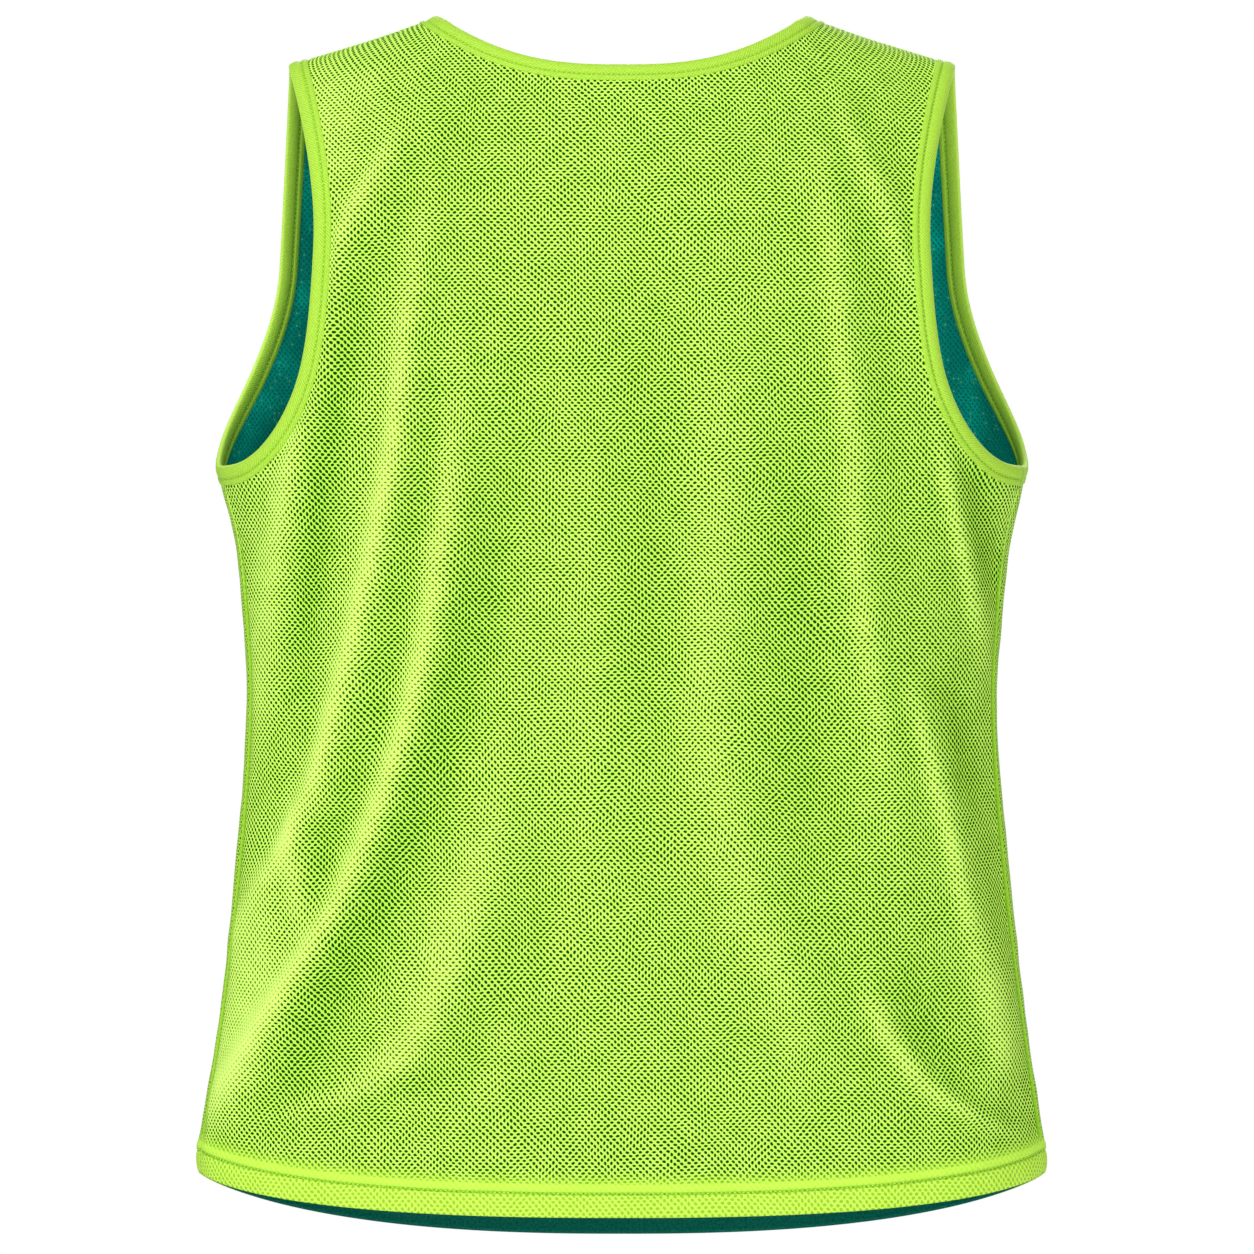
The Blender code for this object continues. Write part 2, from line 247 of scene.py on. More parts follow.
# A fold's crest runs through places of (height, distance to the right of the centre). Its two flanks
# have their own widths, the fifth number says how far the stretched cloth's holes close up along it and
# how much paler the yarn of its lit left flank is painted, a painted highlight (below nothing the holes
# open and the yarn is painted darker, a painted shade), and peak says at what share of its drop the fold
# is fullest.
Fold = namedtuple("Fold", "places height left right pale peak", defaults=(0.5,))
BACK_FOLDS = (
    Fold(((-30, -108), (-62, -119), (-99, -142), (-137, -162), (-171, -174), (-257, -188), (-366, -204)),
         4.5, 8, 15, 0.36, 0.3),
    Fold(((-30, -104), (-74, -108), (-125, -114), (-188, -123), (-246, -129), (-315, -142), (-389, -159),
          (-446, -175), (-478, -188), (-520, -212), (-590, -250)), 6.5, 8, 14, 0.52, 0.55),
    Fold(((-100, -92), (-194, -94), (-257, -96), (-320, -104), (-389, -116), (-446, -133), (-504, -156),
          (-550, -180), (-607, -216), (-690, -262)), 7.5, 9, 17, 0.6, 0.66),
    Fold(((-448, -190), (-492, -188), (-540, -184)), 2.5, 7, 9, 0.34),
    Fold(((-400, -56), (-446, -64), (-504, -80), (-546, -96), (-596, -117), (-624, -146), (-640, -184),
          (-660, -240)), 4.0, 15, 20, 0.32, 0.68),
    Fold(((-560, -76), (-600, -66), (-636, -82), (-662, -111)), 1.5, 10, 12, 0.1),
    Fold(((-200, -13), (-343, -15), (-458, -21), (-600, -16)), 2.0, 18, 22, 0.08),
    Fold(((-120, 64), (-228, 59), (-320, 56), (-389, 51), (-458, 59), (-527, 79), (-584, 103), (-624, 106),
          (-665, 80)), 3.5, 16, 22, 0.18, 0.62),
    Fold(((-30, 104), (-125, 120), (-200, 128), (-257, 134), (-320, 137), (-372, 143), (-446, 153),
          (-520, 163)), 3.0, 7, 12, 0.22, 0.35),
    Fold(((-32, 117), (-94, 142), (-125, 155), (-175, 172)), 2.5, 6, 10, 0.22),
    Fold(((-225, 178), (-286, 191), (-340, 203), (-395, 214)), 3.0, 5, 10, 0.34),
    Fold(((-356, 160), (-401, 170), (-450, 182), (-500, 195), (-560, 206)), 3.2, 6, 11, 0.36),
    Fold(((-545, 137), (-584, 149), (-608, 163), (-632, 186), (-650, 220), (-664, 250)), 3.5, 7, 11, 0.38),
    Fold(((-505, 197), (-567, 214), (-612, 222), (-640, 216)), 3.0, 9, 12, 0.3),
    # No height here: this one is only a streak of closed holes and paler yarn, a painted highlight.
    Fold(((-8, -140), (-60, -160), (-120, -176)), 0.0, 34, 34, 0.24),
    Fold(((-225, -186), (-290, -196), (-380, -206), (-450, -212)), 2.0, 12, 12, 0.3),
    Fold(((-480, -190), (-590, -216), (-665, -236)), 2.0, 22, 24, 0.42),
    # The last rows are hollows: a negative height sinks the cloth, and their negative fifth number opens the
    # holes and paints the yarn darker, a painted shade.
    Fold(((-110, -146), (-188, -154), (-246, -167), (-320, -175), (-420, -191)), -2.0, 9, 9, -0.22),
    Fold(((-240, -66), (-320, -78), (-412, -105), (-504, -134), (-600, -176)), -2.0, 18, 18, -0.12),
    Fold(((-100, 20), (-300, 20), (-460, 22)), -1.0, 22, 22, -0.1),
    Fold(((-180, 98), (-343, 108), (-520, 116)), -1.5, 20, 20, -0.12),
    Fold(((-245, 200), (-303, 211), (-352, 219)), -1.5, 10, 10, -0.2),
    Fold(((-370, 188), (-420, 200), (-470, 208)), -1.5, 13, 13, -0.16),
    Fold(((-540, 164), (-590, 186), (-625, 212)), -1.0, 18, 18, -0.14),
)


TROUGH_DEPTH = 0.22         # beside each fold, of its height
# Beside each fold, on its right, the holes open and the yarn is painted darker: painted shade.
TROUGH_OPEN_AND_SHADE = 0.28


def crest_of(fold, z):
    """Where the crest lies at a height, and how full the fold is there."""
    places = fold.places
    s = (places[0][0] - z) / (places[0][0] - places[-1][0])
    if not 0 < s < 1:
        return 0.0, 0.0
    k = next(i for i in range(len(places) - 1) if z >= places[i + 1][0])
    above, below = places[k], places[k + 1]

    def lean(i):
        before, after = places[max(i - 1, 0)], places[min(i + 1, len(places) - 1)]
        return (after[1] - before[1]) / (after[0] - before[0])

    span = below[0] - above[0]
    t = (z - above[0]) / span
    crest = ((2 * t**3 - 3 * t**2 + 1) * above[1] + (t**3 - 2 * t**2 + t) * lean(k) * span
             + (3 * t**2 - 2 * t**3) * below[1] + (t**3 - t**2) * lean(k + 1) * span)
    return crest, smooth_step(1.15 * s / fold.peak) * smooth_step(1.8 * (1 - s) / (1 - fold.peak))


def hump(offset, width):
    return math.exp(-((offset / width) ** 2))


def crease(folds, point):
    """Height of the folds at a point, and how far its holes are closed and its yarn painted paler (stretch
    and painted highlight) or, below nothing, opened and its yarn painted darker (painted shade).
    """
    total, pale = 0.0, 0.0
    for fold in folds:
        crest, fullness = crest_of(fold, point.z)
        if fullness:
            offset = point.x - crest
            width = fold.left if offset < 0 else fold.right
            rise = hump(offset, width) - TROUGH_DEPTH * hump(offset - 2.2 * fold.right, fold.right)
            # The holes close most and the yarn is painted palest on the fold's left flank, which faces the
            # key light (painted highlight); right of the fold they open and the yarn is painted darker
            # (painted shade).
            closing_and_shading = hump(offset + 0.3 * fold.left, fold.left)
            closing_and_shading -= TROUGH_OPEN_AND_SHADE * hump(offset - 1.6 * fold.right, fold.right)
            total += fold.height * fullness * rise
            pale += fold.pale * fullness * closing_and_shading
    return total, pale


def crease_rise(panel, folds, point, across, down):
    """How far the finished cloth stands out from the smooth form: folds, and a soft waver between them."""
    rise = crease(folds, point)[0]
    rise += 1.6 * noise.noise(Vector((point.x, point.z * 0.35, 400 * panel.side)) * 0.022)
    rise += 0.5 * noise.noise(Vector((point.x, point.z, 400 * panel.side)) * 0.06)
    return rise * smooth_step(7 * (2 - abs(across))) * smooth_step(2.5 * down) * smooth_step(1.2 * (4 - down))


def stretch_steps(counts):
    return [k + i / count for k, count in enumerate(counts) for i in range(count)] + [len(counts)]


def cloth_uv(places, middle_column, yoke_row):
    """A UV map in metres of cloth: level arc length from the centre, and height or length over the yoke."""
    uv = {}
    columns = max(k for k, row in places) + 1
    rows = max(row for k, row in places) + 1
    for row in range(rows):
        uv[middle_column, row] = 0.0
        for way in (1, -1):
            k = middle_column
            while 0 <= k + way < columns:
                step = places[k + way, row] - places[k, row]
                uv[k + way, row] = uv[k, row] + way * math.hypot(step.x, step.y)
                k += way
    level = {}
    for k in range(columns):
        for row in range(rows):
            level[k, row] = places[k, row].z
        for row in range(yoke_row - 1, -1, -1):
            step = places[k, row] - places[k, row + 1]
            level[k, row] = level[k, row + 1] + math.hypot(0.7 * step.y, step.z)
    return {place: (uv[place], level[place]) for place in places}


def object_of(bm, name):
    mesh = bpy.data.meshes.new(name)
    bm.to_mesh(mesh)
    bm.free()
    mesh.shade_smooth()
    piece = bpy.data.objects.new(name, mesh)
    bpy.context.scene.collection.objects.link(piece)
    return piece


def panel_cloth(name, panel, grid, folds, face):
    """One layer of a panel; face is 1 for the outside and -1 for the lining."""
    half, down_steps = stretch_steps(grid[0]), stretch_steps(grid[1])
    across_steps = [-step for step in reversed(half[1:])] + half
    bm = bmesh.new()
    bmesh.ops.create_grid(bm, x_segments=len(across_steps) - 1, y_segments=len(down_steps) - 1, size=1)
    if panel.side > 0:
        bmesh.ops.reverse_faces(bm, faces=bm.faces)
    stretch_and_shading = bm.verts.layers.float.new("stretch_and_shading")
    hem_share = bm.verts.layers.float.new("hem")
    strip_share = bm.verts.layers.float.new("strip")
    sewn_share = bm.verts.layers.float.new("sewn")
    spots = {}
    for vert in bm.verts:
        k = round((vert.co.x + 1) / 2 * (len(across_steps) - 1))
        row = round((1 - vert.co.y) / 2 * (len(down_steps) - 1))
        spots[vert] = k, row
        vert.co = body(panel, across_steps[k], down_steps[row]) * MM
    bm.normal_update()
    places = {}
    for vert, (k, row) in spots.items():
        across, down = across_steps[k], down_steps[row]
        point = vert.co / MM
        rise = crease_rise(panel, folds, point, across, down)
        # How far the holes close and how much paler or darker the yarn is painted: stretch, with painted
        # highlight and painted shade along the folds.
        vert[stretch_and_shading] = crease(folds, point)[1]
        vert[hem_share] = smooth_step((down - 2.97) / 0.06)
        vert[strip_share] = vert[hem_share] * smooth_step((HEM_SEAM - down) / 0.05)
        sewn = hump(down - HEM_SEAM, 0.055)
        if down < 3 and abs(across) > 1.9:
            aside, below = (2 - abs(across)) * BACK_GRID[0][1], smooth_step(5 * (down - 2))
            vert[strip_share] = smooth_step(SIDE_STRIP + 0.4 - aside) * below
            sewn = hump(aside - SIDE_STRIP, 0.6) * below
        vert[sewn_share] = sewn
        places[k, row] = vert.co + vert.normal * rise * MM
    for vert, spot in spots.items():
        vert.co = places[spot]
    bm.normal_update()
    for vert, (k, row) in spots.items():
        rise = LAYER_GAP / 2
        if face > 0:
            rise += HEM_RISE * vert[hem_share] + STRIP_RISE * vert[strip_share] - SEAM_DIP * vert[sewn_share]
        vert.co += vert.normal * face * rise * MM
        if face != panel.side:
            vert.co.z -= HEM_TUCK * MM * smooth_step(2 * down_steps[row] - 7)
    flat = cloth_uv(places, len(half) - 1, grid[1][0])
    uv_layer = bm.loops.layers.uv.new("cloth")
    for each in bm.faces:
        for loop in each.loops:
            loop[uv_layer].uv = flat[spots[loop.vert]]
    piece = object_of(bm, name)
    wall = piece.modifiers.new("wall", "SOLIDIFY")
    wall.thickness = LAYER_WALL * MM
    wall.offset = face
    wall.use_even_offset = False
    return piece


class Nodes:
    """A material's node tree with short calls for adding and joining nodes."""

    def __init__(self, name):
        self.material = bpy.data.materials.new(name)
        self.material.use_nodes = True
        self.tree = self.material.node_tree
        self.shader = self.tree.nodes["Principled BSDF"]

    def add(self, kind, *inputs, **settings):
        node = self.tree.nodes.new(kind)
        for key, value in settings.items():
            setattr(node, key, value)
        for socket, value in zip(node.inputs, inputs):
            self.feed(socket, value)
        return node

    def feed(self, socket, value):
        if isinstance(value, bpy.types.NodeSocket):
            self.tree.links.new(value, socket)
        elif value is not None:
            socket.default_value = value

    def math(self, operation, *inputs):
        return self.add("ShaderNodeMath", *inputs, operation=operation).outputs[0]

    def mix(self, share, first, second):
        node = self.add("ShaderNodeMix", data_type="RGBA")
        self.feed(node.inputs["Factor"], share)
        self.feed(node.inputs["A"], first)
        self.feed(node.inputs["B"], second)
        return node.outputs["Result"]

    def vector(self, operation, *inputs):
        node = self.add("ShaderNodeVectorMath", *inputs, operation=operation)
        return node.outputs["Value" if operation == "LENGTH" else "Vector"]

    def noise(self, place, scale, detail):
        node = self.add("ShaderNodeTexNoise")
        self.feed(node.inputs["Vector"], place)
        node.inputs["Scale"].default_value = scale
        node.inputs["Detail"].default_value = detail
        return node

    def bump(self, relief, distance, strength):
        node = self.add("ShaderNodeBump")
        node.inputs["Distance"].default_value = distance
        node.inputs["Strength"].default_value = strength
        self.feed(node.inputs["Height"], relief)
        self.feed(self.shader.inputs["Normal"], node.outputs[0])

    def ramp(self, value, low, high, first=0.0, last=1.0):
        """A smooth change from first to last while value goes from low to high."""
        node = self.add("ShaderNodeMapRange", value, low, high, first, last, interpolation_type="SMOOTHSTEP")
        return node.outputs[0]


def rgba(red, green, blue):
    """A colour from display values of 0 to 255."""
    def linear(value):
        value /= 255
        return value / 12.92 if value <= 0.04045 else ((value + 0.055) / 1.055) ** 2.4
    return linear(red), linear(green), linear(blue), 1


HOLE_PITCH = 2.66 * MM      # between holes, which stand in a square net turned by 45 degrees


def mesh_cells(nodes):
    """Distance to the nearest hole's centre in pitches, the cloth's place, and the number of its hole."""
    uv = nodes.add("ShaderNodeUVMap", uv_map="cloth").outputs[0]
    warp = nodes.noise(uv, 14, 1).outputs["Color"]
    shift = nodes.vector("SUBTRACT", warp, (0.5, 0.5, 0.5))
    shift = nodes.vector("MULTIPLY", shift, (0.007, 0.007, 0))
    cloth = nodes.vector("ADD", uv, shift)
    shiver = nodes.vector("SUBTRACT", nodes.noise(uv, 240, 1).outputs["Color"], (0.5, 0.5, 0.5))
    pulled = nodes.vector("ADD", cloth, nodes.vector("MULTIPLY", shiver, (0.0007, 0.0007, 0)))
    turned = nodes.add("ShaderNodeMapping", pulled)
    turned.inputs["Rotation"].default_value = (0, 0, math.radians(45))
    turned.inputs["Scale"].default_value = (1 / HOLE_PITCH, 1 / HOLE_PITCH, 1)
    number = nodes.vector("FLOOR", turned.outputs[0])
    centred = nodes.vector("SUBTRACT", nodes.vector("FRACTION", turned.outputs[0]), (0.5, 0.5, 0))
    lean = nodes.add("ShaderNodeTexWhiteNoise", number).outputs[0]
    lean = nodes.math("ADD", lean, nodes.math("MULTIPLY", nodes.noise(uv, 60, 1).outputs[0], 5.0))
    oval = nodes.add("ShaderNodeVectorRotate", centred, None, (0, 0, 1), rotation_type="AXIS_ANGLE")
    nodes.feed(oval.inputs["Angle"], lean)
    oval = nodes.vector("MULTIPLY", oval.outputs[0], (0.84, 1.2, 0))
    distance = nodes.vector("LENGTH", oval)
    return distance, cloth, number


def attribute(nodes, name):
    return nodes.add("ShaderNodeAttribute", attribute_name=name).outputs["Fac"]


def lime_mesh():
    nodes = Nodes("lime_mesh")
    uv = nodes.add("ShaderNodeUVMap", uv_map="cloth").outputs[0]
    mottle = nodes.ramp(nodes.noise(uv, 75, 2).outputs[0], 0.3, 0.7, -0.06, 0.06)
    # Stretch along the folds with their painted highlight and painted shade, plus a random mottle.
    pale = nodes.math("ADD", attribute(nodes, "stretch_and_shading"), mottle)
    hem, strip, sewn = attribute(nodes, "hem"), attribute(nodes, "strip"), attribute(nodes, "sewn")
    distance, cloth, number = mesh_cells(nodes)
    radius = nodes.add("ShaderNodeMapRange", pale, -0.6, 1.0, 0.43, 0.18, clamp=True).outputs[0]
    edge = nodes.math("SUBTRACT", distance, radius)
    hole = nodes.ramp(edge, -0.06, 0.04, 1.0, 0.0)
    # How dark the holes are painted and how deep their bump; weaker where the cloth is stretched pale and
    # where it is doubled at the hem and strips.
    hole_depth_and_shade = nodes.ramp(pale, 0.1, 1.0, 1.0, 0.3)
    hole_depth_and_shade = nodes.math("MULTIPLY", hole_depth_and_shade, nodes.ramp(hem, 0, 1, 1.0, 0.4))
    hole_depth_and_shade = nodes.math("MULTIPLY", hole_depth_and_shade, nodes.ramp(strip, 0, 1, 1.0, 0.12))
    knit = nodes.noise(cloth, 900, 3).outputs[0]
    # Yarn painted darker toward each hole's edge, where it turns into the opening: painted shade.
    yarn = nodes.mix(nodes.ramp(distance, 0.32, 0.68), rgba(152, 216, 40), rgba(206, 250, 104))
    # Yarn painted paler on the folds' lit flanks: painted highlight.
    yarn = nodes.mix(nodes.ramp(pale, -0.5, 0.9), yarn, rgba(216, 250, 124))
    # Yarn painted darker beside the folds: painted shade.
    yarn = nodes.mix(nodes.ramp(pale, -0.7, 0.1, 0.45, 0.0), yarn, rgba(138, 204, 26))
    yarn = nodes.mix(nodes.ramp(knit, 0.35, 0.65, 0.0, 0.3), yarn, rgba(142, 206, 36))
    yarn = nodes.mix(nodes.math("MULTIPLY", hem, 0.6), yarn, rgba(192, 238, 76))
    # The side strip beside the seam is painted a deeper, darker green: painted shade.
    side = nodes.math("MULTIPLY", strip, nodes.math("SUBTRACT", 0.8, nodes.math("MULTIPLY", hem, 0.8)))
    yarn = nodes.mix(side, yarn, rgba(146, 208, 28))
    # The sunk seam lines at the hem and sides are painted dark green: painted shade in the groove.
    yarn = nodes.mix(sewn, yarn, rgba(100, 162, 6))
    # The holes are painted dark green for the shaded gap behind them: painted shade.
    colour = nodes.mix(nodes.math("MULTIPLY", hole, hole_depth_and_shade), yarn, rgba(0, 60, 0))
    nodes.feed(nodes.shader.inputs["Base Color"], colour)
    relief = nodes.math("SUBTRACT", nodes.math("MULTIPLY", knit, 0.25), nodes.math("MULTIPLY", hole, hole_depth_and_shade))
    nodes.bump(relief, 0.0004, 0.6)
    nodes.shader.inputs["Roughness"].default_value = 0.6
    nodes.shader.inputs["Specular IOR Level"].default_value = 0.03
    return nodes.material


def dress(piece, material, slot, *replaced):
    piece.data.materials.append(material)
    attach(piece, "root")
    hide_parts(*replaced)


lime = lime_mesh()
back_cloth = panel_cloth("back_cloth", BACK, BACK_GRID, BACK_FOLDS, 1)
dress(back_cloth, lime, "lime_mesh", "back_panel")


# Front panel
# The same mesh, cut wider round the chest, with a scoop neck and a longer curved hem. It hangs in a
# few soft folds from the chest.
FRONT_FOLDS = (
    Fold(((-60, 122), (-150, 132), (-250, 146), (-340, 164), (-430, 190), (-500, 220)), 4.5, 7, 13, 0.4, 0.5),
    Fold(((-140, 92), (-250, 98), (-360, 108), (-470, 128), (-560, 158), (-640, 200)), 6.0, 9, 16, 0.46, 0.6),
    Fold(((-390, 48), (-460, 60), (-530, 80), (-600, 108), (-670, 144)), 3.5, 13, 18, 0.26, 0.6),
    Fold(((-220, 8), (-380, 14), (-500, 10), (-640, 18)), 2.0, 18, 20, 0.12),
    Fold(((-70, -124), (-160, -130), (-260, -140), (-360, -158), (-450, -182), (-520, -208)),
         4.5, 13, 7, 0.4, 0.45),
    Fold(((-170, -82), (-280, -86), (-380, -94), (-480, -108), (-570, -130), (-660, -162)),
         5.5, 16, 9, 0.44, 0.55),
    Fold(((-320, -40), (-440, -46), (-560, -40), (-680, -52)), 2.5, 18, 16, 0.14),
    Fold(((-470, -176), (-540, -188), (-610, -206), (-670, -232)), 3.0, 11, 8, 0.3),
)
front_cloth = panel_cloth("front_cloth", FRONT, BACK_GRID, FRONT_FOLDS, 1)
dress(front_cloth, lime, "lime_mesh", "front_panel")


# Linings
# The reverse side's layer, cut like the panels from teal mesh and caught in the same seams.
LINING_GRID = (40, 40), (20, 32, 64, 9)


def teal_mesh():
    nodes = Nodes("teal_mesh")
    hem = attribute(nodes, "hem")
    distance, cloth, number = mesh_cells(nodes)
    hole = nodes.ramp(distance, 0.2, 0.42, 1.0, 0.0)
    knit = nodes.noise(cloth, 700, 3).outputs[0]
    # Large soft patches painted darker teal stand in for the shade of the lining's folds: painted shade.
    fold_shade_patches = nodes.noise(cloth, 26, 2).outputs[0]
    yarn = nodes.mix(nodes.ramp(knit, 0.35, 0.65), rgba(0, 168, 150), rgba(8, 204, 184))
    yarn = nodes.mix(nodes.ramp(fold_shade_patches, 0.35, 0.65, 0.0, 0.55), yarn, rgba(0, 100, 92))
    pick = nodes.add("ShaderNodeTexWhiteNoise", number).outputs[0]
    speck = nodes.math("MULTIPLY", nodes.ramp(pick, 0.88, 0.94), nodes.ramp(distance, 0.1, 0.24, 1.0, 0.0))
    speck = nodes.math("MULTIPLY", speck, nodes.math("SUBTRACT", 1.0, hem))
    # The lining's holes are painted darker teal for the shade behind them: painted shade.
    colour = nodes.mix(nodes.math("MULTIPLY", hole, 0.7), yarn, rgba(0, 100, 92))
    # The lining's hem band is painted a darker teal: painted shade.
    hem_shade_yarn = nodes.mix(nodes.ramp(knit, 0.35, 0.65), rgba(0, 92, 76), rgba(0, 112, 94))
    colour = nodes.mix(hem, colour, hem_shade_yarn)
    nodes.feed(nodes.shader.inputs["Base Color"], nodes.mix(speck, colour, rgba(150, 225, 130)))
    nodes.bump(nodes.math("SUBTRACT", knit, hole), 0.0003, 0.5)
    nodes.shader.inputs["Roughness"].default_value = 0.55
    nodes.shader.inputs["Specular IOR Level"].default_value = 0.08
    return nodes.material


teal = teal_mesh()
back_lining_cloth = panel_cloth("back_lining_cloth", BACK, LINING_GRID, BACK_FOLDS, -1)
dress(back_lining_cloth, teal, "teal_mesh", "back_lining")
front_lining_cloth = panel_cloth("front_lining_cloth", FRONT, LINING_GRID, FRONT_FOLDS, -1)
dress(front_lining_cloth, teal, "teal_mesh", "front_lining")


# Bindings
# Strips of lime rib knit, folded over the cut edges of both layers and stitched down. Each is a ring:
# a soft roll at the opening, a stitched groove, and a narrow flat edge on the cloth.
BAND_PROFILE = ((-0.9, 0.9), (-0.85, 1.5), (-0.2, 1.95), (0.8, 2.1), (1.5, 2.25), (2.2, 2.05), (2.7, 1.35),
                (3.2, 1.3), (3.7, 1.9), (4.8, 2.3), (6.6, 2.45), (8.4, 2.2), (9.8, 1.6), (10.6, 0.85),
                (10.85, 0.0))


GROOVE_PLACE = 2.95


def band(name, edge, material, node):
    """A folded strip along a ring of places (panel, across, down) on the cloth's edge."""
    points = [body(*place) for place in edge]
    normals = [outward(*place) for place in edge]
    profile = list(BAND_PROFILE) + [(reach, -rise) for reach, rise in reversed(BAND_PROFILE[:-1])]
    lengths = [0.0]
    for k in range(len(points)):
        lengths.append(lengths[-1] + (points[(k + 1) % len(points)] - points[k]).length * MM)
    bm = bmesh.new()
    bmesh.ops.create_grid(bm, x_segments=len(edge), y_segments=len(profile), size=1)
    uv_layer = bm.loops.layers.uv.new("cloth")
    spots = {}
    for vert in bm.verts:
        k = round((vert.co.x + 1) / 2 * len(edge))
        spots[vert] = k, round((vert.co.y + 1) / 2 * len(profile))
    for each in bm.faces:
        for loop in each.loops:
            k, row = spots[loop.vert]
            loop[uv_layer].uv = lengths[k], profile[row % len(profile)][0] * MM
    for vert, (k, row) in spots.items():
        k %= len(edge)
        along = points[(k + 1) % len(edge)] - points[k - 1]
        normal = (normals[k] - normals[k].project(along)).normalized()
        away = along.cross(normal).normalized()
        reach, rise = profile[row % len(profile)]
        vert.co = (points[k] + away * reach + normal * rise) * MM
    bmesh.ops.remove_doubles(bm, verts=bm.verts, dist=1e-6)
    bmesh.ops.recalc_face_normals(bm, faces=bm.faces)
    piece = object_of(bm, name)
    dress(piece, material, "lime_knit", node)
    return piece


def lime_knit():
    nodes = Nodes("lime_knit")
    uv = nodes.add("ShaderNodeUVMap", uv_map="cloth").outputs[0]
    rib = nodes.add("ShaderNodeTexWave", wave_type="BANDS", bands_direction="DIAGONAL")
    nodes.feed(rib.inputs["Vector"], uv)
    rib.inputs["Scale"].default_value = 330
    rib.inputs["Distortion"].default_value = 2.2
    rib.inputs["Detail"].default_value = 2
    fuzz = nodes.noise(uv, 700, 3).outputs[0]
    reach = nodes.add("ShaderNodeSeparateXYZ", uv).outputs[1]
    away = nodes.math("ABSOLUTE", nodes.math("SUBTRACT", reach, GROOVE_PLACE * MM))
    colour = nodes.mix(rib.outputs["Fac"], rgba(134, 190, 33), rgba(176, 216, 72))
    colour = nodes.mix(nodes.ramp(fuzz, 0.35, 0.65, 0.0, 0.35), colour, rgba(188, 226, 94))
    # A pale line along the rolled edge at the opening: painted highlight.
    colour = nodes.mix(nodes.ramp(reach, 9.6 * MM, 10.7 * MM, 0.0, 0.6), colour, rgba(204, 242, 108))
    # The stitched groove is painted darker green: painted shade.
    colour = nodes.mix(nodes.ramp(away, 0.2 * MM, 0.75 * MM, 0.7, 0.0), colour, rgba(118, 174, 22))
    start = nodes.add("ShaderNodeSeparateXYZ", uv).outputs[0]
    colour = nodes.mix(nodes.ramp(start, 0.5 * MM, 1.2 * MM, 0.8, 0.0), colour, rgba(92, 150, 10))
    nodes.feed(nodes.shader.inputs["Base Color"], colour)
    nodes.bump(nodes.math("ADD", nodes.math("MULTIPLY", rib.outputs["Fac"], 0.6), fuzz), 0.0003, 0.6)
    nodes.shader.inputs["Roughness"].default_value = 0.6
    nodes.shader.inputs["Specular IOR Level"].default_value = 0.1
    return nodes.material


def neck_ring(steps):
    across = [k / steps for k in range(-steps, steps + 1)]
    back = [(BACK, step, 0) for step in reversed(across)]
    return back + [(FRONT, step, 0) for step in across[1:-1]]


def armhole_ring(hand, upper, lower):
    rows = [k / upper for k in range(upper)] + [1 + k / lower for k in range(lower + 1)]
    back = [(BACK, 2 * hand, step) for step in reversed(rows)]
    ring = back + [(FRONT, 2 * hand, step) for step in rows[1:-1]]
    return ring if hand > 0 else ring[::-1]


knit = lime_knit()
neck_band = band("neck_band", neck_ring(48), knit, "neck_binding")
left_band = band("armhole_band_left", armhole_ring(-1, 40, 60), knit, "armhole_binding_left")
right_band = band("armhole_band_right", armhole_ring(1, 40, 60), knit, "armhole_binding_right")


# Binding stitches
# One row of lime lockstitch runs in the groove of each binding, through both folded edges. The stitches
# sink a little into the knit.
STITCH_HALF = Vector((0.32, 0.95, 0.26))
THREAD_PLACE = 3.0          # from the cloth's edge to the groove
THREAD_RISE = 1.45
BINDING_STITCH = 2.9


def thread(colour_name, dark, light):
    nodes = Nodes(colour_name)
    place = nodes.add("ShaderNodeTexCoord").outputs["Object"]
    twist = nodes.noise(place, 1500, 2).outputs[0]
    nodes.feed(nodes.shader.inputs["Base Color"], nodes.mix(nodes.ramp(twist, 0.35, 0.65), dark, light))
    nodes.bump(twist, 0.0001, 0.4)
    nodes.shader.inputs["Roughness"].default_value = 0.5
    nodes.shader.inputs["Specular IOR Level"].default_value = 0.25
    return nodes.material


def stitch_row(bm, points, normals, pitch, half=STITCH_HALF):
    """Stitches along a line of points, each a small long grain laid along the line."""
    walked, goal = 0.0, pitch / 2
    for k in range(len(points) - 1):
        step = points[k + 1] - points[k]
        while goal <= walked + step.length:
            place = points[k] + step * ((goal - walked) / step.length)
            along = step.normalized()
            normal = (normals[k] - normals[k].project(along)).normalized()
            turn = Matrix((along.cross(normal), along, normal)).transposed().to_4x4()
            size = Matrix.Diagonal((*(half * MM), 1))
            bmesh.ops.create_icosphere(bm, subdivisions=1, radius=1,
                                       matrix=Matrix.Translation(place * MM) @ turn @ size)
            goal += pitch
        walked += step.length


def finished(bm, name, material, slot, node):
    piece = object_of(bm, name)
    dress(piece, material, slot, node)
    return piece


def binding_stitches(name, edge, material, node):
    ring = [*edge, edge[0]]
    points = [body(*place) for place in ring]
    normals = [outward(*place) for place in ring]
    bm = bmesh.new()
    for face in (1, -1):
        lines = []
        for k, (point, normal) in enumerate(zip(points, normals)):
            along = points[(k + 1) % len(edge)] - points[k - 1 if k else len(edge) - 1]
            flat_normal = (normal - normal.project(along)).normalized()
            away = along.cross(flat_normal).normalized()
            lines.append(point + away * THREAD_PLACE + flat_normal * face * THREAD_RISE)
        stitch_row(bm, lines, normals, BINDING_STITCH)
    return finished(bm, name, material, "lime_knit", node)


